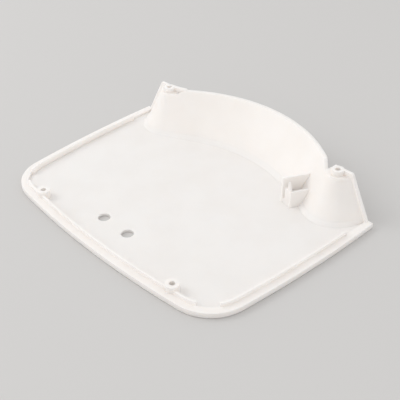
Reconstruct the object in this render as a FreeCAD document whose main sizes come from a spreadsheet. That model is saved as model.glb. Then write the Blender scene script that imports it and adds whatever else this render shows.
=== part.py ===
# Indicator light cover: one white moulding, lying with its flat show face down.
# Millimetres, +Z up. The origin is on the show face, in the middle of the straight
# line between the two rear corners; -Y points at the bowed front edge.
import FreeCAD
import Part
import math
import os
import Sketcher

V = FreeCAD.Vector
UP = V(0, 0, 1)
NODE = "indicator_cover"

# Each size: alias, value, what it is
SIZES = [
    ("half_width", 105.4, "half the width at the rear corners"),
    ("depth", 139.0, "rear line to the middle of the front edge"),
    ("side_radius", 865.0, "bow of each side edge"),
    ("front_radius", 640.0, "bow of the front edge"),
    ("corner_radius", 28.7, "front corners in plan"),
    ("shoulder_top", 4.0, "height of the shoulder that runs round three sides"),
    ("shoulder_width", 4.8, "width of that shoulder"),
    ("edge_round", 0.9, "rounding of the show face's edge"),
    ("floor", 2.2, "thickness of the floor"),
    ("rail", 1.5, "thickness of the locating rail inside the shoulder"),
    ("rail_top", 6.2, "height of the rail"),
    ("rail_stop", 21.0, "rear line to the rear ends of the rail"),
    ("gap_front", 26.0, "end of the front rail, turned round the corner from the front, degrees"),
    ("gap_side", 58.0, "start of the side rail, turned round the corner from the front, degrees"),
    ("tall", 32.3, "height of the rear wall and of the screw towers"),
    ("wall", 2.75, "thickness of the leaning wall, measured level"),
    ("wall_foot", 1.1, "front of the wall's foot at the middle, behind the rear line"),
    ("wall_lean", 21.9, "how far the wall's top stands behind its foot"),
    ("bow_foot", 100.0, "radius of the wall's bow at its foot"),
    ("bow_head", 97.6, "radius of the wall's bow at its top"),
    ("knee", 4.6, "height of the flare at the foot of the wall and the towers"),
    ("flare", 3.6, "how far that flare runs forward at the show face"),
    ("tower_x", 77.0, "screw tower's axis from the middle"),
    ("tower_y", 3.2, "screw tower's axis in front of the rear line"),
    ("tower_foot", 20.0, "tower radius at its foot, without the flare"),
    ("tower_head", 4.7, "tower radius that it would have at the wall's full height"),
    ("land_drop", 3.3, "tower's flat land below the wall's top"),
    ("land_thick", 3.0, "thickness of the tower under its land"),
    ("land_edge", 69.0, "inner end of the land from the middle"),
    ("slope_start", 64.0, "where the wall's top starts to slope down to the land"),
    ("tower_boss", 4.0, "outer radius of the screw boss that stands on the land"),
    ("tower_screw", 1.7, "radius of the tower's screw hole"),
    ("back_plate", 2.2, "thickness of the plate behind each tower"),
    ("back_foot", 103.9, "outer edge of that plate at the show face"),
    ("back_head", 86.7, "outer edge of that plate at its top"),
    ("lip", 1.8, "how far that plate stands out past the tower's flank"),
    ("web_end", 64.5, "inner end of the web that closes the left tower's notch"),
    ("web_start_rear", 0.6, "rear of that web at the tower's axis, behind the rear line"),
    ("web_end_rear", 4.0, "rear of that web at its inner end"),
    ("web", 3.0, "thickness of that web"),
    ("boss_x", 62.0, "front screw boss from the middle"),
    ("boss_back", 11.0, "front screw boss behind the middle of the front edge"),
    ("boss", 4.3, "outer radius of the front screw boss"),
    ("boss_screw", 1.7, "radius of its hole"),
    ("boss_top", 8.0, "height of the front boss"),
    ("lamp_x", -5.9, "middle of the two lamp holes"),
    ("lamp_back", 25.4, "lamp holes behind the middle of the front edge"),
    ("lamp_pitch", 22.8, "distance between the lamp holes"),
    ("lamp", 4.0, "radius of a lamp hole"),
    ("clip_x", 47.9, "inner front corner of the clip, from the middle"),
    ("clip_y", 20.3, "the same, in front of the rear line"),
    ("clip_turn", 26.0, "turn of the clip's side leaves about the vertical, degrees"),
    ("clip_front_turn", 14.0, "turn of its front leaf about the vertical, degrees"),
    ("clip_width", 10.1, "width of the clip"),
    ("clip_leaf", 1.6, "thickness of the clip's three leaves"),
    ("clip_tall", 20.0, "height of its inner leaf and of the hook on its front leaf"),
    ("clip_low", 14.0, "height of its outer leaf and of the front leaf beside the hook"),
    ("slot_low", 5.0, "lower end of the slot between the inner and the front leaf"),
    ("slot_end", 3.9, "inner leaf's face to the far side of that slot"),
    ("hook_start", 6.7, "inner leaf's face to the upright side of the hook"),
    ("hook_tip", 0.5, "width of the hook's tip"),
    ("hook_end", 9.4, "inner leaf's face to the foot of the hook's slope"),
]

doc = FreeCAD.newDocument("IndicatorLightCover")
sheet = doc.addObject("Spreadsheet::Sheet", "Sizes")
for row, (alias, number, words) in enumerate(SIZES, start=1):
    sheet.set("A%d" % row, words)
    sheet.set("B%d" % row, str(number))
    sheet.setAlias("B%d" % row, alias)
doc.recompute()


def size(alias):
    """The number in the cell with this alias."""
    return float(sheet.get(alias))


def bound(expression):
    """An expression with each alias in it written as a cell of the sheet."""
    words = sorted((alias for alias, number, words in SIZES), key=len, reverse=True)
    out = []
    token = ""
    for letter in expression + " ":
        if letter.isalpha() or letter == "_":
            token += letter
            continue
        out.append("Sizes." + token if token in words else token)
        out.append(letter)
        token = ""
    return "".join(out).strip()


body = doc.addObject("PartDesign::Body", "Cover")
body.Label = NODE


def origin_plane(role):
    """One of the body's own origin planes, such as XY_Plane."""
    return [item for item in body.Origin.OriginFeatures if item.Role == role][0]


def new_sketch(name, role="XY_Plane", lift=None):
    """An empty sketch on an origin plane, lifted along its normal by an expression."""
    sketch = body.newObject("Sketcher::SketchObject", name)
    sketch.AttachmentSupport = [(origin_plane(role), "")]
    sketch.MapMode = "FlatFace"
    if lift:
        sketch.setExpression("AttachmentOffset.Base.z", bound(lift))
    return sketch


def drive(sketch, constraint, expression):
    """Add a dimension to a sketch and bind it to the sheet."""
    index = sketch.addConstraint(constraint)
    sketch.setExpression("Constraints[%d]" % index, bound(expression))
    return index


def meet(first, first_radius, second, second_radius):
    """The two points at these distances from two centres."""
    gap = second - first
    reach = gap.Length
    along = (first_radius ** 2 - second_radius ** 2 + reach ** 2) / (2 * reach)
    aside = math.sqrt(first_radius ** 2 - along ** 2)
    ahead = gap / reach
    left = V(-ahead.y, ahead.x, 0)
    return first + ahead * along + left * aside, first + ahead * along - left * aside


def heading(origin, target):
    """Angle of the line from one point to another."""
    return math.atan2(target.y - origin.y, target.x - origin.x)


def add_arc(sketch, centre, radius, start, end):
    """Counter-clockwise arc between two angles."""
    while end < start:
        end += 2 * math.pi
    return sketch.addGeometry(Part.ArcOfCircle(Part.Circle(centre, UP, radius), start, end))


def add_line(sketch, first, second):
    """Straight edge between two points."""
    return sketch.addGeometry(Part.LineSegment(first, second))


def join(sketch, kind, pairs):
    """Coincident or Tangent constraints between the ends of edges."""
    for first, first_end, second, second_end in pairs:
        sketch.addConstraint(Sketcher.Constraint(kind, first, first_end, second, second_end))


def at_start(sketch, edge):
    """Start point of an edge."""
    return sketch.Geometry[edge].StartPoint


def at_end(sketch, edge):
    """End point of an edge."""
    return sketch.Geometry[edge].EndPoint


def tray_curves(sketch, inset, words, rear):
    """The tray's five curves, moved inwards by an inset, that stop short of the rear line.

    Returns their numbers in counter-clockwise order, from the left side to the right.
    """
    front_centre = V(0, size("front_radius") - size("depth"), 0)
    side_centre = V(size("half_width") - size("side_radius"), 0, 0)
    corner = meet(front_centre, size("front_radius") - size("corner_radius"),
                  side_centre, size("side_radius") - size("corner_radius"))
    corner_centre = min(corner, key=lambda point: point.y)
    side_radius = size("side_radius") - inset
    rear_angle = -math.asin(rear / side_radius)
    side_angle = heading(side_centre, corner_centre)
    front_angle = heading(front_centre, corner_centre)
    mirrored = V(-corner_centre.x, corner_centre.y, 0)
    left_side = add_arc(sketch, V(-side_centre.x, 0, 0), side_radius,
                        math.pi - rear_angle, math.pi - side_angle)
    left_corner = add_arc(sketch, mirrored, size("corner_radius") - inset,
                          math.pi - side_angle, math.pi - front_angle)
    front = add_arc(sketch, front_centre, size("front_radius") - inset,
                    math.pi - front_angle, front_angle)
    right_corner = add_arc(sketch, corner_centre, size("corner_radius") - inset,
                           front_angle, side_angle)
    right_side = add_arc(sketch, side_centre, side_radius, side_angle, rear_angle)
    curves = [left_side, left_corner, front, right_corner, right_side]
    join(sketch, "Tangent", [(a, 2, b, 1) for a, b in zip(curves, curves[1:])])
    sketch.addConstraint(Sketcher.Constraint("PointOnObject", left_side, 3, -1))
    sketch.addConstraint(Sketcher.Constraint("PointOnObject", right_side, 3, -1))
    sketch.addConstraint(Sketcher.Constraint("PointOnObject", front, 3, -2))
    drive(sketch, Sketcher.Constraint("DistanceX", -1, 1, left_side, 3, -side_centre.x),
          "side_radius - half_width")
    drive(sketch, Sketcher.Constraint("DistanceX", right_side, 3, -1, 1, -side_centre.x),
          "side_radius - half_width")
    drive(sketch, Sketcher.Constraint("DistanceY", -1, 1, front, 3, front_centre.y),
          "front_radius - depth")
    for edge, alias in [(left_side, "side_radius"), (right_side, "side_radius"),
                        (front, "front_radius"), (left_corner, "corner_radius"),
                        (right_corner, "corner_radius")]:
        drive(sketch, Sketcher.Constraint("Radius", edge, size(alias) - inset),
              alias + words)
    return curves


def tray_outline(name, inset, words):
    """Closed outline of the tray, moved inwards by an inset, cut off at the rear line."""
    sketch = new_sketch(name)
    curves = tray_curves(sketch, inset, words, 0)
    first, last = curves[0], curves[-1]
    rear = add_line(sketch, at_end(sketch, last), at_start(sketch, first))
    join(sketch, "Coincident", [(last, 2, rear, 1), (rear, 2, first, 1)])
    sketch.addConstraint(Sketcher.Constraint("PointOnObject", first, 1, -1))
    sketch.addConstraint(Sketcher.Constraint("PointOnObject", last, 2, -1))
    return sketch


# Levels of the wall's three sections, by the size that lifts each
LEVELS = {"foot": None, "knee": "knee", "head": "tall"}


def part_way(foot_alias, head_alias):
    """A size at the knee, on the straight line between its foot and its head."""
    share = size("knee") / size("tall")
    number = size(foot_alias) * (1 - share) + size(head_alias) * share
    return number, "(%s + (%s - %s) * knee / tall)" % (foot_alias, head_alias, foot_alias)


def level_sizes(level):
    """Bow radius, tower radius, wall's middle and plate's edge at a level, with words."""
    if level == "foot":
        flare = size("flare")
        return [(size("bow_foot") - flare, "(bow_foot - flare)"),
                (size("tower_foot") + flare, "(tower_foot + flare)"),
                (size("wall_foot") - flare, "(wall_foot - flare)"),
                (size("back_foot"), "back_foot")]
    if level == "knee":
        share = size("knee") / size("tall")
        return [part_way("bow_foot", "bow_head"),
                part_way("tower_foot", "tower_head"),
                (size("wall_foot") + size("wall_lean") * share,
                 "(wall_foot + wall_lean * knee / tall)"),
                part_way("back_foot", "back_head")]
    return [(size("bow_head"), "bow_head"),
            (size("tower_head"), "tower_head"),
            (size("wall_foot") + size("wall_lean"), "(wall_foot + wall_lean)"),
            (size("back_head"), "back_head")]


def flank_turn(level):
    """Angle at which the tower's round front ends in its flat flank, as radians and words."""
    bow, (tower, tower_words), middle, (edge, edge_words) = level_sizes(level)
    reach = edge - size("lip") - size("tower_x")
    rise = size("tower_y") - size("back_plate") / 2
    reach_words = "(%s - lip - tower_x)" % edge_words
    rise_words = "(tower_y - back_plate / 2)"
    turn = math.atan2(rise, reach) - math.acos(tower / math.hypot(reach, rise))
    words = "atan2(%s; %s) - acos(%s / sqrt(%s^2 + %s^2))" % (
        rise_words, reach_words, tower_words, reach_words, rise_words)
    return turn, words


def wall_curves(sketch, level, inset, words):
    """The wall in plan at its foot, its knee or its head, moved backwards by an inset.

    The bow runs straight on into each tower's round front, and that into a flat flank.
    Returns the seven edges from the left flank to the right one.
    """
    (bow, bow_words), (tower, tower_words), (middle, middle_words), edge = level_sizes(level)
    tower_centre = V(size("tower_x"), -size("tower_y"), 0)
    bow_centre = V(0, middle - bow, 0)
    reach = (tower_centre - bow_centre).Length
    out = heading(bow_centre, tower_centre) + math.acos((bow + tower) / reach)
    normal = V(math.cos(out), math.sin(out), 0)
    flank, flank_words = flank_turn(level)
    side = V(math.cos(flank), math.sin(flank), 0)
    bow_end = bow_centre + normal * (bow + inset)
    tower_start = tower_centre - normal * (tower - inset)
    tower_end = tower_centre + side * (tower - inset)
    length = (-size("back_plate") / 2 - tower_end.y) / side.x
    flank_end = tower_end + V(-side.y, side.x, 0) * length

    def mirrored(point):
        return V(-point.x, point.y, 0)

    left_flank = add_line(sketch, mirrored(tower_end), mirrored(flank_end))
    left_tower = add_arc(sketch, mirrored(tower_centre), tower - inset,
                         math.pi - flank, 2 * math.pi - out)
    left_run = add_line(sketch, mirrored(bow_end), mirrored(tower_start))
    main = add_arc(sketch, bow_centre, bow + inset, out, math.pi - out)
    right_run = add_line(sketch, bow_end, tower_start)
    right_tower = add_arc(sketch, tower_centre, tower - inset, math.pi + out, flank)
    right_flank = add_line(sketch, tower_end, flank_end)
    join(sketch, "Tangent", [(left_tower, 1, left_flank, 1), (left_run, 2, left_tower, 2),
                             (main, 2, left_run, 1), (main, 1, right_run, 1),
                             (right_run, 2, right_tower, 1), (right_tower, 2, right_flank, 1)])
    sketch.addConstraint(Sketcher.Constraint("PointOnObject", main, 3, -2))
    drive(sketch, Sketcher.Constraint("DistanceX", left_tower, 3, -1, 1, tower_centre.x),
          "tower_x")
    drive(sketch, Sketcher.Constraint("DistanceX", -1, 1, right_tower, 3, tower_centre.x),
          "tower_x")
    for edge in (left_tower, right_tower):
        drive(sketch, Sketcher.Constraint("DistanceY", edge, 3, -1, 1, size("tower_y")),
              "tower_y")
        drive(sketch, Sketcher.Constraint("Radius", edge, tower - inset),
              "%s - %s" % (tower_words, words))
    for edge in (left_flank, right_flank):
        drive(sketch, Sketcher.Constraint("DistanceY", edge, 2, -1, 1, size("back_plate") / 2),
              "back_plate / 2")
    quarter = math.pi / 2
    drive(sketch, Sketcher.Constraint("Angle", right_flank, flank + quarter),
          flank_words + " + 90 deg")
    drive(sketch, Sketcher.Constraint("Angle", left_flank, quarter - flank),
          "90 deg - (%s)" % flank_words)
    drive(sketch, Sketcher.Constraint("Radius", main, bow + inset),
          "%s + %s" % (bow_words, words))
    drive(sketch, Sketcher.Constraint("DistanceY", main, 3, -1, 1, bow - middle),
          "%s - %s" % (bow_words, middle_words))
    return [left_flank, left_tower, left_run, main, right_run, right_tower, right_flank]


def wall_band(name, level):
    """Section of the wall: its front curves, its back curves and the two cut ends."""
    sketch = new_sketch(name, lift=LEVELS[level])
    front = wall_curves(sketch, level, 0, "0")
    back = wall_curves(sketch, level, size("wall"), "wall")
    for first, last in ((front[0], back[0]), (front[-1], back[-1])):
        cut = add_line(sketch, at_end(sketch, first), at_end(sketch, last))
        join(sketch, "Coincident", [(first, 2, cut, 1), (cut, 2, last, 2)])
    return sketch


def space_behind(name, level):
    """What lies behind the middle of the wall, as far as a line clear of everything."""
    sketch = new_sketch(name, lift=LEVELS[level])
    back = wall_curves(sketch, level, size("wall") / 2, "wall / 2")
    far = size("depth")
    first = at_end(sketch, back[0])
    last = at_end(sketch, back[-1])
    left = add_line(sketch, first, V(first.x, far, 0))
    rear = add_line(sketch, V(first.x, far, 0), V(last.x, far, 0))
    right = add_line(sketch, V(last.x, far, 0), last)
    join(sketch, "Coincident", [(back[0], 2, left, 1), (left, 2, rear, 1),
                                (rear, 2, right, 1), (right, 2, back[-1], 2)])
    sketch.addConstraint(Sketcher.Constraint("Vertical", left))
    sketch.addConstraint(Sketcher.Constraint("Vertical", right))
    sketch.addConstraint(Sketcher.Constraint("Horizontal", rear))
    drive(sketch, Sketcher.Constraint("DistanceY", -1, 1, rear, 1, far), "depth")
    return sketch


def circles(name, places, lift=None):
    """Sketch of circles, each given as x, y and radius with their expressions."""
    sketch = new_sketch(name, lift=lift)
    for x, x_words, y, y_words, radius, radius_words in places:
        edge = sketch.addGeometry(Part.Circle(V(x, -y, 0), UP, radius))
        if x < 0:
            drive(sketch, Sketcher.Constraint("DistanceX", edge, 3, -1, 1, -x),
                  "-(%s)" % x_words)
        else:
            drive(sketch, Sketcher.Constraint("DistanceX", -1, 1, edge, 3, x), x_words)
        drive(sketch, Sketcher.Constraint("DistanceY", edge, 3, -1, 1, y), y_words)
        drive(sketch, Sketcher.Constraint("Radius", edge, radius), radius_words)
    return sketch


def pair(x_alias, y, y_words, radius_alias):
    """Two circles at equal distances left and right of the middle."""
    x, radius = size(x_alias), size(radius_alias)
    return [(-x, "-" + x_alias, y, y_words, radius, radius_alias),
            (x, x_alias, y, y_words, radius, radius_alias)]


def pad(sketch, name, length, reverse=False):
    """Pad a sketch by an expression."""
    feature = body.newObject("PartDesign::Pad", name)
    feature.Profile = sketch
    feature.setExpression("Length", bound(length))
    feature.Reversed = reverse
    doc.recompute()
    return feature


def pocket(sketch, name, length):
    """Cut a sketch by an expression, and check that it cut something."""
    before = body.Tip.Shape.Volume
    feature = body.newObject("PartDesign::Pocket", name)
    feature.Profile = sketch
    feature.setExpression("Length", bound(length))
    doc.recompute()
    if feature.Shape.Volume > before - 0.1:
        raise RuntimeError(name + " cut nothing")
    return feature


def loft(kind, name, sections):
    """Ruled loft through the sections, added or taken away."""
    feature = body.newObject("PartDesign::" + kind, name)
    feature.Profile = sections[0]
    feature.Sections = sections[1:]
    feature.Ruled = True
    doc.recompute()
    return feature


# Tray: shoulder, floor and the rounded edge of the show face
pad(tray_outline("TrayOutline", 0, " - 0"), "Tray", "shoulder_top")
show_edges = []
for number, edge in enumerate(body.Tip.Shape.Edges, start=1):
    box = edge.BoundBox
    if box.ZMax < 0.01 and box.YMin < -0.01:
        show_edges.append("Edge%d" % number)
rounding = body.newObject("PartDesign::Fillet", "ShowEdge")
rounding.Base = (body.getObject("Tray"), show_edges)
rounding.setExpression("Radius", bound("edge_round"))
doc.recompute()
inner = tray_outline("FloorOutline", size("shoulder_width"), " - shoulder_width")
inner.setExpression("AttachmentOffset.Base.z", bound("shoulder_top"))
pocket(inner, "FloorRecess", "shoulder_top - floor")

# Locating rail: a band round three sides, with a gap at each front corner
rail_sketch = new_sketch("RailBand")
outer = tray_curves(rail_sketch, size("shoulder_width"), " - shoulder_width", size("rail_stop"))
inner = tray_curves(rail_sketch, size("shoulder_width") + size("rail"),
                    " - shoulder_width - rail", size("rail_stop"))
left_end = add_line(rail_sketch, at_start(rail_sketch, outer[0]), at_start(rail_sketch, inner[0]))
right_end = add_line(rail_sketch, at_end(rail_sketch, outer[-1]), at_end(rail_sketch, inner[-1]))
join(rail_sketch, "Coincident", [(outer[0], 1, left_end, 1), (left_end, 2, inner[0], 1),
                                 (outer[-1], 2, right_end, 1), (right_end, 2, inner[-1], 2)])
for edge in (left_end, right_end):
    rail_sketch.addConstraint(Sketcher.Constraint("Horizontal", edge))
    drive(rail_sketch, Sketcher.Constraint("DistanceY", edge, 1, -1, 1, size("rail_stop")),
          "rail_stop")
pad(rail_sketch, "Rail", "rail_top")


# The rail stands back from each front corner
gap_sketch = new_sketch("RailGaps", lift="rail_top")
guide = tray_curves(gap_sketch, size("shoulder_width"), " - shoulder_width", 0)
for edge in guide:
    gap_sketch.setConstruction(edge, True)
for side, corner in ((-1, guide[1]), (1, guide[3])):
    centre = gap_sketch.Geometry[corner].Center
    outer_radius = size("corner_radius") - size("shoulder_width")
    turns = [math.radians(-90 + side * size(alias)) for alias in ("gap_front", "gap_side")]
    first, last = sorted(turns)
    outer = add_arc(gap_sketch, centre, outer_radius, first, last)
    inner = add_arc(gap_sketch, centre, outer_radius - size("rail"), first, last)
    starts = add_line(gap_sketch, at_start(gap_sketch, inner), at_start(gap_sketch, outer))
    ends = add_line(gap_sketch, at_end(gap_sketch, inner), at_end(gap_sketch, outer))
    join(gap_sketch, "Coincident",
         [(inner, 1, starts, 1), (starts, 2, outer, 1), (inner, 2, ends, 1), (ends, 2, outer, 2),
          (inner, 3, corner, 3), (outer, 3, corner, 3)])
    drive(gap_sketch, Sketcher.Constraint("Radius", outer, outer_radius),
          "corner_radius - shoulder_width")
    drive(gap_sketch, Sketcher.Constraint("Radius", inner, outer_radius - size("rail")),
          "corner_radius - shoulder_width - rail")
    for edge in (starts, ends):
        gap_sketch.addConstraint(Sketcher.Constraint("PointOnObject", corner, 3, edge))
    aliases = ("gap_front", "gap_side") if side > 0 else ("gap_side", "gap_front")
    for edge, alias in zip((starts, ends), aliases):
        turn = -90 + side * size(alias)
        drive(gap_sketch, Sketcher.Constraint("Angle", edge, math.radians(turn)),
              "-90 %s %s" % ("+" if side > 0 else "-", alias))
pocket(gap_sketch, "RailGap", "rail_top - floor")


def clip_sketch(name, quarter, turn_alias, along):
    """Upright sketch from one of the clip's front corners, turned about the vertical."""
    sketch = new_sketch(name, role="XZ_Plane")
    reach = math.radians(size("clip_front_turn"))
    step = size("clip_width") if along else 0
    sketch.AttachmentOffset = FreeCAD.Placement(
        V(size("clip_x") + step * math.cos(reach), 0,
          size("clip_y") + step * math.sin(reach)),
        FreeCAD.Rotation(V(0, 1, 0), quarter - size(turn_alias)))
    words = "clip_width" if along else "0"
    sketch.setExpression("AttachmentOffset.Base.x",
                         bound("clip_x + %s * cos(clip_front_turn * 1 deg)" % words))
    sketch.setExpression("AttachmentOffset.Base.z",
                         bound("clip_y + %s * sin(clip_front_turn * 1 deg)" % words))
    sketch.setExpression("AttachmentOffset.Rotation.Angle",
                         bound("%d - %s" % (quarter, turn_alias)))
    return sketch


def polygon(sketch, corners):
    """Closed outline whose corners are given as x and y with their expressions."""
    points = [V(x, y, 0) for x, x_words, y, y_words in corners]
    edges = [add_line(sketch, a, b) for a, b in zip(points, points[1:] + points[:1])]
    join(sketch, "Coincident",
         [(a, 2, b, 1) for a, b in zip(edges, edges[1:] + edges[:1])])
    for edge, (x, x_words, y, y_words) in zip(edges, corners):
        if x:
            ends = (-1, 1, edge, 1) if x > 0 else (edge, 1, -1, 1)
            drive(sketch, Sketcher.Constraint("DistanceX", *ends, abs(x)), x_words)
        else:
            sketch.addConstraint(Sketcher.Constraint("PointOnObject", edge, 1, -2))
        if y:
            ends = (-1, 1, edge, 1) if y > 0 else (edge, 1, -1, 1)
            drive(sketch, Sketcher.Constraint("DistanceY", *ends, abs(y)), y_words)
        else:
            sketch.addConstraint(Sketcher.Constraint("PointOnObject", edge, 1, -1))
    return edges


# Clip at the wall's foot: two side leaves that run back into the wall, and between them
# a front leaf with a hook, parted from the tall inner leaf by a slot
inner_leaf = clip_sketch("ClipInner", 90, "clip_turn", False)
outer_leaf = clip_sketch("ClipOuter", 90, "clip_turn", True)
for leaf, alias, back_first in ((inner_leaf, "clip_tall", False), (outer_leaf, "clip_low", True)):
    polygon(leaf, [
        (0, "0", 0, "0"),
        (size("tall"), "tall", 0, "0"),
        (size("tall"), "tall", size(alias), alias),
        (0, "0", size(alias), alias),
    ])
    pad(leaf, leaf.Name + "Leaf", "clip_leaf", reverse=back_first)
front_leaf = clip_sketch("ClipFront", 0, "clip_front_turn", False)
tip_end = size("hook_start") + size("hook_tip")
polygon(front_leaf, [
    (0, "0", 0, "0"),
    (size("clip_width"), "clip_width", 0, "0"),
    (size("clip_width"), "clip_width", size("clip_low"), "clip_low"),
    (size("hook_end"), "hook_end", size("clip_low"), "clip_low"),
    (tip_end, "hook_start + hook_tip", size("clip_tall"), "clip_tall"),
    (size("hook_start"), "hook_start", size("clip_tall"), "clip_tall"),
    (size("hook_start"), "hook_start", size("clip_low"), "clip_low"),
    (size("slot_end"), "slot_end", size("clip_low"), "clip_low"),
    (size("slot_end"), "slot_end", size("slot_low"), "slot_low"),
    (0, "0", size("slot_low"), "slot_low"),
])
pad(front_leaf, "ClipFrontLeaf", "clip_leaf", reverse=True)

# Between the towers the floor runs on behind the rear line, as far as the wall
floor_sketch = new_sketch("FloorBehindRearLine")
polygon(floor_sketch, [
    (-size("tower_x") / 2, "tower_x / 2", -size("tower_y"), "tower_y"),
    (size("tower_x") / 2, "tower_x / 2", -size("tower_y"), "tower_y"),
    (size("tower_x") / 2, "tower_x / 2", size("wall_lean"), "wall_lean"),
    (-size("tower_x") / 2, "tower_x / 2", size("wall_lean"), "wall_lean"),
])
pad(floor_sketch, "FloorInBow", "floor")

# The floor and the clip end inside the wall: what lies behind it is taken away
loft("SubtractiveLoft", "BehindWall",
     [space_behind("BehindWall" + level.title(), level) for level in LEVELS])
loft("AdditiveLoft", "Wall", [wall_band("Wall" + level.title(), level) for level in LEVELS])

# Screw towers: each is cut down to a flat land, with a slope from the wall's top
for side, name in ((-1, "Left"), (1, "Right")):
    cut = new_sketch(name + "LandCut", role="XZ_Plane", lift="tower_foot")
    polygon(cut, [
        (side * size("slope_start"), "slope_start", size("tall"), "tall"),
        (side * size("back_foot"), "back_foot", size("tall"), "tall"),
        (side * size("back_foot"), "back_foot", size("tall") - size("land_drop"),
         "tall - land_drop"),
        (side * size("land_edge"), "land_edge", size("tall") - size("land_drop"),
         "tall - land_drop"),
    ])
    pocket(cut, name + "LandPocket", "2 * tower_foot")

# The land closes each tower; below it the tower is hollow and open to the rear
under = size("tall") - size("land_drop") - size("land_thick")
under_words = "tall - land_drop - land_thick"
radius = (size("tower_head") + (size("tower_foot") - size("tower_head"))
          * (size("land_drop") + size("land_thick") / 2) / size("tall") - size("wall") / 2)
radius_words = ("tower_head + (tower_foot - tower_head) * (land_drop + land_thick / 2) / tall"
                " - wall / 2")
land_out = (size("back_head") + (size("back_foot") - size("back_head"))
            * size("land_drop") / size("tall") - size("wall"))
land_out_words = "back_head + (back_foot - back_head) * land_drop / tall - wall"
for side, name in ((-1, "Left"), (1, "Right")):
    sketch = new_sketch(name + "LandShape", lift=under_words)
    inner, inner_words = size("land_edge") + size("lip") / 2, "land_edge + lip / 2"
    front = -size("tower_y") - radius * math.sin(math.radians(45))
    reach = radius * math.cos(math.radians(45))
    polygon(sketch, [
        (side * inner, inner_words, 0, "0"),
        (side * inner, inner_words, -size("tower_y") - size("lip"), "tower_y + lip"),
        (side * (size("tower_x") - reach), "tower_x - (%s) * cos(45 deg)" % radius_words,
         front, "tower_y + (%s) * sin(45 deg)" % radius_words),
        (side * size("tower_x"), "tower_x", -size("tower_y") - radius,
         "tower_y + (%s)" % radius_words),
        (side * (size("tower_x") + reach), "tower_x + (%s) * cos(45 deg)" % radius_words,
         front, "tower_y + (%s) * sin(45 deg)" % radius_words),
        (side * land_out, land_out_words, 0, "0"),
    ])
    pad(sketch, name + "Land", "land_thick")
pad(circles("TowerBossRings", pair("tower_x", size("tower_y"), "tower_y", "tower_boss"),
            lift=under_words),
    "TowerBosses", "land_drop + land_thick")

# Plate behind each tower: closed round the boss, a lip beside the open recess below
for side, name in ((-1, "Left"), (1, "Right")):
    back = new_sketch(name + "Back", role="XZ_Plane")
    lean = (size("back_foot") - size("back_head")) * under / size("tall")
    inner_foot = size("back_foot") - size("lip") - size("wall")
    boss_side, boss_side_words = size("tower_x") - size("tower_boss"), "tower_x - tower_boss"
    polygon(back, [
        (side * size("back_foot"), "back_foot", 0, "0"),
        (side * size("back_head"), "back_head", size("tall"), "tall"),
        (side * boss_side, boss_side_words, size("tall"), "tall"),
        (side * boss_side, boss_side_words, under, under_words),
        (side * (inner_foot - lean),
         "back_foot - lip - wall - (back_foot - back_head) * (%s) / tall" % under_words,
         under, under_words),
        (side * inner_foot, "back_foot - lip - wall", 0, "0"),
    ])
    pad(back, name + "BackPlate", "back_plate")

# Web that closes the left tower's notch towards the rear
web = new_sketch("NotchWeb", lift="tall")
polygon(web, [
    (-size("tower_x"), "tower_x", size("web_start_rear"), "web_start_rear"),
    (-size("tower_x"), "tower_x", size("web_start_rear") - size("web"),
     "web - web_start_rear"),
    (-size("web_end"), "web_end", size("web_end_rear") - size("web"), "web_end_rear - web"),
    (-size("web_end"), "web_end", size("web_end_rear"), "web_end_rear"),
])
pad(web, "NotchWebPlate", "land_drop + land_thick / 2", reverse=True)

# Front bosses, then every hole
boss_y, boss_y_words = size("depth") - size("boss_back"), "depth - boss_back"
pad(circles("FrontBossRings", pair("boss_x", boss_y, boss_y_words, "boss")),
    "FrontBosses", "boss_top")
pocket(circles("FrontBossHoles", pair("boss_x", boss_y, boss_y_words, "boss_screw"),
               lift="boss_top"),
       "FrontBossBores", "boss_top - floor")
pocket(circles("TowerScrewHoles",
               pair("tower_x", size("tower_y"), "tower_y", "tower_screw"), lift="tall"),
       "TowerScrewBores", "land_drop + land_thick")
lamp_y, lamp_y_words = size("depth") - size("lamp_back"), "depth - lamp_back"
lamp_left = size("lamp_x") - size("lamp_pitch") / 2
lamp_right = size("lamp_x") + size("lamp_pitch") / 2
pocket(circles("LampHoles", [
    (lamp_left, "(lamp_x - lamp_pitch / 2)", lamp_y, lamp_y_words, size("lamp"), "lamp"),
    (lamp_right, "lamp_x + lamp_pitch / 2", lamp_y, lamp_y_words, size("lamp"), "lamp"),
], lift="floor"), "LampBores", "floor")

doc.recompute()
for item in doc.Objects:
    if "Invalid" in item.State or "Error" in item.State:
        raise RuntimeError(item.Name + " failed: " + str(item.State))
shape = body.Shape
if shape.isNull() or not shape.isValid() or len(shape.Solids) != 1:
    raise RuntimeError("the cover is not one sound solid")
print("cover", round(shape.Volume), "cubic mm")

os.makedirs("parts", exist_ok=True)
shape.exportStep("parts/" + NODE + ".step")
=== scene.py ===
"""Looks of the indicator light cover: one white moulding on a pale studio floor.

Every length is in metres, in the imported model's own frame. The cover lies on its show
face, so the floor is at height zero.
"""

import logging
import math
from dataclasses import dataclass

import bpy
from mathutils import Matrix, Vector

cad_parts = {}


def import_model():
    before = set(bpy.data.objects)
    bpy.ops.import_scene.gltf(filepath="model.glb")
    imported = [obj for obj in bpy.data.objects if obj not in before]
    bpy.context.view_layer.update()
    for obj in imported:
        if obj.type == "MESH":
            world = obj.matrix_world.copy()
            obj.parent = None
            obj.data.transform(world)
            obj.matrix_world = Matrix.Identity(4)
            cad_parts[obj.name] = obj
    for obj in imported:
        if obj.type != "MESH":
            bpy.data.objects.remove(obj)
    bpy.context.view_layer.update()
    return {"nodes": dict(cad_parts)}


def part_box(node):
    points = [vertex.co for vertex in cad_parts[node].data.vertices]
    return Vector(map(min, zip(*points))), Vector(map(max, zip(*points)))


Colour = tuple[float, float, float, float]
Triple = tuple[float, float, float]
Socket = bpy.types.NodeSocket
LOG = logging.getLogger("cover_scene")
COVER_NODE = "indicator_cover"


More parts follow.
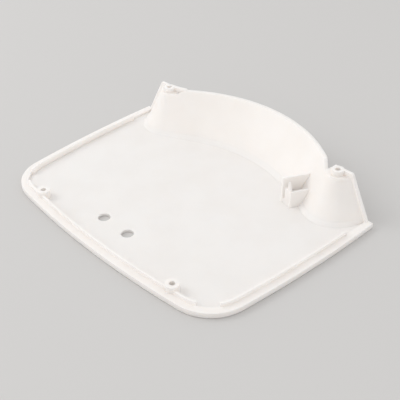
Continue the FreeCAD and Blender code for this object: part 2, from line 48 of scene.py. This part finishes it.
@dataclass(frozen=True)
class NodeGraph:
    """A material's node tree with short ways to add to it.

    Attributes:
        material: The material whose nodes are laid out.
    """

    material: bpy.types.Material

    @classmethod
    def fresh(cls, name: str) -> "NodeGraph":
        """Makes a material with an empty node tree.

        Args:
            name: Name of the new material.

        Returns:
            The graph of that material.
        """
        material = bpy.data.materials.new(name)
        material.use_nodes = True
        material.node_tree.nodes.clear()
        return cls(material)

    def add(self, kind: str, **settings: object) -> bpy.types.Node:
        """Adds a node.

        Args:
            kind: Blender's name for the node type, without its ShaderNode prefix.
            **settings: Attributes of the node, or values for its input sockets, whose
                names have an underscore in place of each space.

        Returns:
            The new node.
        """
        node = self.material.node_tree.nodes.new("ShaderNode" + kind)
        for key, value in settings.items():
            if hasattr(node, key):
                setattr(node, key, value)
            else:
                node.inputs[key.replace("_", " ")].default_value = value
        return node

    def link(self, source: Socket, target: Socket) -> None:
        """Joins an output socket to an input socket.

        Args:
            source: Output socket.
            target: Input socket.
        """
        self.material.node_tree.links.new(source, target)

    def product(self, first: Socket, second: Socket) -> Socket:
        """Multiplies two values.

        Args:
            first: Output socket of the one.
            second: Output socket of the other.

        Returns:
            Their product.
        """
        node = self.add("Math", operation="MULTIPLY")
        self.link(first, node.inputs[0])
        self.link(second, node.inputs[1])
        return node.outputs["Value"]

    def noise(self, place: Socket, **settings: object) -> Socket:
        """Adds a noise.

        Args:
            place: Position on the piece.
            **settings: Values for the noise's input sockets.

        Returns:
            The noise, mostly between 0.3 and 0.7.
        """
        node = self.add("TexNoise", **settings)
        self.link(place, node.inputs["Vector"])
        return node.outputs["Fac"]

    def output(self, surface: Socket) -> None:
        """Ends the graph in its surface shader.

        Args:
            surface: Output socket of that shader.
        """
        node = self.add("OutputMaterial")
        self.link(surface, node.inputs["Surface"])


@dataclass(frozen=True)
class Ramp:
    """Even change of one value with another.

    Attributes:
        start: Value to measure at which the result is the first one.
        end: Value to measure at which it is the second one.
        first: Result at the start.
        second: Result at the end.
    """

    start: float
    end: float
    first: float = 0.0
    second: float = 1.0

    def of(self, graph: NodeGraph, value: Socket) -> Socket:
        """Adds the change to a material.

        Args:
            graph: The material's graph.
            value: Value to measure.

        Returns:
            The result, which stays the same past the start and the end.
        """
        node = graph.add("MapRange", From_Min=self.start, From_Max=self.end,
                         To_Min=self.first, To_Max=self.second)
        graph.link(value, node.inputs["Value"])
        return node.outputs["Result"]


@dataclass(frozen=True)
class Unevenness:
    """Low swells on a surface.

    Attributes:
        per_metre: Number of swells in a metre.
        detail: Number of finer layers in them.
        height: Their height.
        strength: Share of the height that shows.
    """

    per_metre: float
    detail: float
    height: float
    strength: float

    def over(self, graph: NodeGraph, place: Socket, normal: Socket) -> Socket:
        """Lays the swells over a surface.

        Args:
            graph: The material's graph.
            place: Position on the piece.
            normal: Normal of the surface below.

        Returns:
            The new normal.
        """
        swells = graph.noise(place, Scale=self.per_metre, Detail=self.detail)
        bump = graph.add("Bump", Strength=self.strength, Distance=self.height)
        graph.link(swells, bump.inputs["Height"])
        graph.link(normal, bump.inputs["Normal"])
        return bump.outputs["Normal"]


@dataclass(frozen=True)
class WallKnee:
    """The strip where the steep wall and towers pass into their flared foot.

    Attributes:
        above_floor: Fade from the floor below the strip, by height.
        below_wall: Fade from the steep wall above it, by height.
        rear: Fade from the tray in front of the wall, by the place along Y.
        inside: Fade from the shoulder and its rail, by the distance from the middle plane.
        clip_at: Middle of the clip's foot, which keeps its sharp corners.
        beside_clip: Fade from the clip, by the distance from that point.
    """

    above_floor: Ramp = Ramp(0.0035, 0.0055)
    below_wall: Ramp = Ramp(0.0105, 0.0085)
    rear: Ramp = Ramp(-0.033, -0.029)
    inside: Ramp = Ramp(0.095, 0.091)
    clip_at: Triple = (0.055, -0.0146, 0.005)
    beside_clip: Ramp = Ramp(0.009, 0.012)

    def share(self, graph: NodeGraph, place: Socket) -> Socket:
        """Tells the strip from the rest of the cover.

        Args:
            graph: The material's graph.
            place: Position on the cover.

        Returns:
            One in the strip and none outside it.
        """
        parts = graph.add("SeparateXYZ")
        graph.link(place, parts.inputs["Vector"])
        sideways = graph.add("Math", operation="ABSOLUTE")
        graph.link(parts.outputs["X"], sideways.inputs[0])
        from_clip = graph.add("VectorMath", operation="DISTANCE")
        from_clip.inputs[1].default_value = self.clip_at
        graph.link(place, from_clip.inputs[0])

        strip = graph.product(self.above_floor.of(graph, parts.outputs["Z"]),
                              self.below_wall.of(graph, parts.outputs["Z"]))
        strip = graph.product(strip, self.rear.of(graph, parts.outputs["Y"]))
        strip = graph.product(strip, self.inside.of(graph, sideways.outputs["Value"]))
        return graph.product(strip, self.beside_clip.of(graph, from_clip.outputs["Value"]))


@dataclass(frozen=True)
class MouldedPlastic:
    """White satin plastic as it leaves the mould.

    Attributes:
        name: Material name.
        pale: Colour of the clean plastic.
        dull: Colour where it is faintly soiled.
        dull_to: Value of the noise up to which the colour is the soiled one.
        pale_from: Value of the noise from which it is the clean one.
        clouds: Number of slow changes in tone in a metre.
        cloud_edge: Weight of each finer layer in them.
        patches: Number of patches of gloss in a metre.
        patch_detail: Number of finer layers in both.
        gloss: Change of the roughness with the noise.
        depth: How far light spreads inside the plastic.
        spread: Share of the light that does.
        tints: How far red, green and blue spread beside that depth.
        density: Index of refraction.
        edge: Radius of the softened edges.
        bend: Radius of the softened bend where the wall passes into its foot.
        edge_samples: Number of samples for both.
        knee: Where that bend is.
        sink: Slow sink marks.
        grain: Fine grain of the mould.
    """

    name: str
    pale: Colour
    dull: Colour
    dull_to: float = 0.3
    pale_from: float = 0.6
    clouds: float = 100 / 3
    cloud_edge: float = 0.6
    patches: float = 200 / 3
    patch_detail: float = 4.0
    gloss: Ramp = Ramp(0.3, 0.7, 0.5, 0.64)
    depth: float = 0.0035
    spread: float = 0.7
    tints: Triple = (1.0, 0.95, 0.9)
    density: float = 1.5
    edge: float = 0.00035
    bend: float = 0.003
    edge_samples: int = 12
    knee: WallKnee = WallKnee()
    sink: Unevenness = Unevenness(70.0, 1.0, 0.0002, 0.25)
    grain: Unevenness = Unevenness(2500.0, 2.0, 0.00004, 0.12)

    def build(self) -> bpy.types.Material:
        """Lays out the nodes.

        Returns:
            The finished material.
        """
        graph = NodeGraph.fresh(self.name)
        place = graph.add("TexCoord").outputs["Object"]
        shader = graph.add("BsdfPrincipled", IOR=self.density, Subsurface_Weight=self.spread,
                           Subsurface_Scale=self.depth, Subsurface_Radius=self.tints)
        graph.link(self.tone(graph, place), shader.inputs["Base Color"])
        graph.link(self.sheen(graph, place), shader.inputs["Roughness"])
        graph.link(self.relief(graph, place), shader.inputs["Normal"])
        graph.output(shader.outputs["BSDF"])
        return graph.material

    def tone(self, graph: NodeGraph, place: Socket) -> Socket:
        """Slow, faint changes between the clean and the soiled colour.

        Args:
            graph: The material's graph.
            place: Position on the cover.

        Returns:
            The colour.
        """
        clouds = graph.noise(place, Scale=self.clouds, Detail=self.patch_detail,
                             Roughness=self.cloud_edge)
        tone = graph.add("ValToRGB")
        tone.color_ramp.elements[0].position = self.dull_to
        tone.color_ramp.elements[0].color = self.dull
        tone.color_ramp.elements[1].position = self.pale_from
        tone.color_ramp.elements[1].color = self.pale
        graph.link(clouds, tone.inputs["Fac"])
        return tone.outputs["Color"]

    def sheen(self, graph: NodeGraph, place: Socket) -> Socket:
        """Patches that are a little more or less glossy.

        Args:
            graph: The material's graph.
            place: Position on the cover.

        Returns:
            The roughness.
        """
        patches = graph.noise(place, Scale=self.patches, Detail=self.patch_detail)
        return self.gloss.of(graph, patches)

    def relief(self, graph: NodeGraph, place: Socket) -> Socket:
        """Soft edges, the soft bend above the wall's foot, sink marks and fine grain.

        Args:
            graph: The material's graph.
            place: Position on the cover.

        Returns:
            The surface normal.
        """
        width = Ramp(0.0, 1.0, self.edge, self.bend).of(graph, self.knee.share(graph, place))
        soft = graph.add("Bevel", samples=self.edge_samples)
        graph.link(width, soft.inputs["Radius"])
        sunk = self.sink.over(graph, place, soft.outputs["Normal"])
        return self.grain.over(graph, place, sunk)


@dataclass(frozen=True)
class StudioPaper:
    """Matt pale paper of the floor.

    Attributes:
        name: Material name.
        colour: Its colour.
        roughness: Its roughness.
        shine: Level of its reflections.
    """

    name: str
    colour: Colour
    roughness: float = 0.95
    shine: float = 0.1

    def build(self) -> bpy.types.Material:
        """Lays out the nodes.

        Returns:
            The finished material.
        """
        graph = NodeGraph.fresh(self.name)
        shader = graph.add("BsdfPrincipled", Roughness=self.roughness, Base_Color=self.colour,
                           Specular_IOR_Level=self.shine)
        graph.output(shader.outputs["BSDF"])
        return graph.material


@dataclass
class Cover:
    """The moulding itself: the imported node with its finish.

    Attributes:
        node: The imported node.
        finish: The plastic it is moulded in.
    """

    node: bpy.types.Object
    finish: MouldedPlastic

    def dress(self) -> None:
        """Gives the node its material."""
        material = self.finish.build()
        self.node.data.materials.clear()
        self.node.data.materials.append(material)


@dataclass
class Studio:
    """Pale floor and soft light.

    Attributes:
        paper: Finish of the floor.
        reach: Half the floor's width.
        sky_colour: Colour of the even light from all round.
        sky: Its strength.
        key_power: Power of the large soft light, in watts.
        key_from: Direction that it comes from, from the cover's middle.
        key_away: Its distance.
        key_size: Its width and height.
    """

    paper: StudioPaper
    reach: float = 20.0
    sky_colour: Colour = (1.0, 1.0, 1.0, 1.0)
    sky: float = 0.91
    key_power: float = 5.8
    key_from: Triple = (-0.8, -0.6, 0.84)
    key_away: float = 1.6
    key_size: float = 0.9

    def floor(self) -> bpy.types.Object:
        """Makes the floor.

        Returns:
            The floor's object.
        """
        mesh = bpy.data.meshes.new("studio_floor")
        half = self.reach
        corners = [(-half, -half, 0.0), (half, -half, 0.0), (half, half, 0.0), (-half, half, 0.0)]
        mesh.from_pydata(corners, [], [(0, 1, 2, 3)])
        mesh.materials.append(self.paper.build())
        floor = bpy.data.objects.new("studio_floor", mesh)
        bpy.context.scene.collection.objects.link(floor)
        return floor

    def light(self, aim: Vector) -> None:
        """Adds the soft light and the even light.

        Args:
            aim: Point that the soft light looks at.
        """
        world = bpy.data.worlds.new("studio_world")
        world.use_nodes = True
        background = world.node_tree.nodes["Background"]
        background.inputs["Color"].default_value = self.sky_colour
        background.inputs["Strength"].default_value = self.sky
        bpy.context.scene.world = world

        data = bpy.data.lights.new("key_light", "AREA")
        data.energy = self.key_power
        data.shape = "SQUARE"
        data.size = self.key_size
        lamp = bpy.data.objects.new("key_light", data)
        bpy.context.scene.collection.objects.link(lamp)
        away = Vector(self.key_from).normalized() * self.key_away
        lamp.location = aim + away
        lamp.rotation_euler = away.to_track_quat("Z", "Y").to_euler()


@dataclass(frozen=True)
class PhotoCamera:
    """Camera at the photograph's viewing angle.

    Attributes:
        azimuth: Turn of the camera about the vertical, in degrees from straight in front.
        elevation: Its height above the level, in degrees.
        distance: Distance from the aim, along the view.
        aim: Point on the floor that the view is measured from.
        shift_right: Move of the camera to its own right.
        shift_up: Move of the camera along its own up.
        lens: Focal length in millimetres.
        sensor: Width of the sensor in millimetres.
        nearest: Distance from which things are seen.
    """

    azimuth: float = 45.79
    elevation: float = 36.05
    distance: float = 0.4652
    aim: Triple = (0.0, -0.0531, 0.0)
    shift_right: float = 0.00472
    shift_up: float = -0.00498
    lens: float = 63.0
    sensor: float = 36.0
    nearest: float = 0.01

    def place(self) -> None:
        """Makes the camera and sets it as the scene's own."""
        turn = math.radians(self.azimuth)
        rise = math.radians(self.elevation)
        right = Vector((math.cos(turn), math.sin(turn), 0.0))
        back = Vector((math.sin(turn) * math.cos(rise), -math.cos(turn) * math.cos(rise),
                       math.sin(rise)))
        up = back.cross(right)
        data = bpy.data.cameras.new("photo_camera")
        data.sensor_width = self.sensor
        data.lens = self.lens
        data.clip_start = self.nearest
        camera = bpy.data.objects.new("photo_camera", data)
        axes = Matrix((right, up, back)).transposed().to_4x4()
        spot = (Vector(self.aim) + back * self.distance + right * self.shift_right
                + up * self.shift_up)
        camera.matrix_world = Matrix.Translation(spot) @ axes
        bpy.context.scene.collection.objects.link(camera)
        bpy.context.scene.camera = camera


def main() -> None:
    """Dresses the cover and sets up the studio."""
    logging.basicConfig(level=logging.INFO)
    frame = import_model()

    plastic = MouldedPlastic(name="cover_plastic", pale=(0.90, 0.862, 0.832, 1.0),
                             dull=(0.876, 0.834, 0.80, 1.0))
    cover = Cover(frame["nodes"][COVER_NODE], plastic)
    cover.dress()
    LOG.info("%s: dressed in %s", COVER_NODE, plastic.name)

    studio = Studio(StudioPaper(name="studio_paper", colour=(0.62, 0.61, 0.60, 1.0)))
    studio.floor()
    LOG.info("floor: laid with %s", studio.paper.name)
    low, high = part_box(COVER_NODE)
    studio.light((low + high) / 2)
    LOG.info("light: sky %.2f, key %.1f watts", studio.sky, studio.key_power)
    camera = PhotoCamera()
    camera.place()
    LOG.info("camera: azimuth %.1f, elevation %.1f", camera.azimuth, camera.elevation)
    bpy.context.scene.view_settings.view_transform = "Standard"


if __name__ == "__main__":
    main()
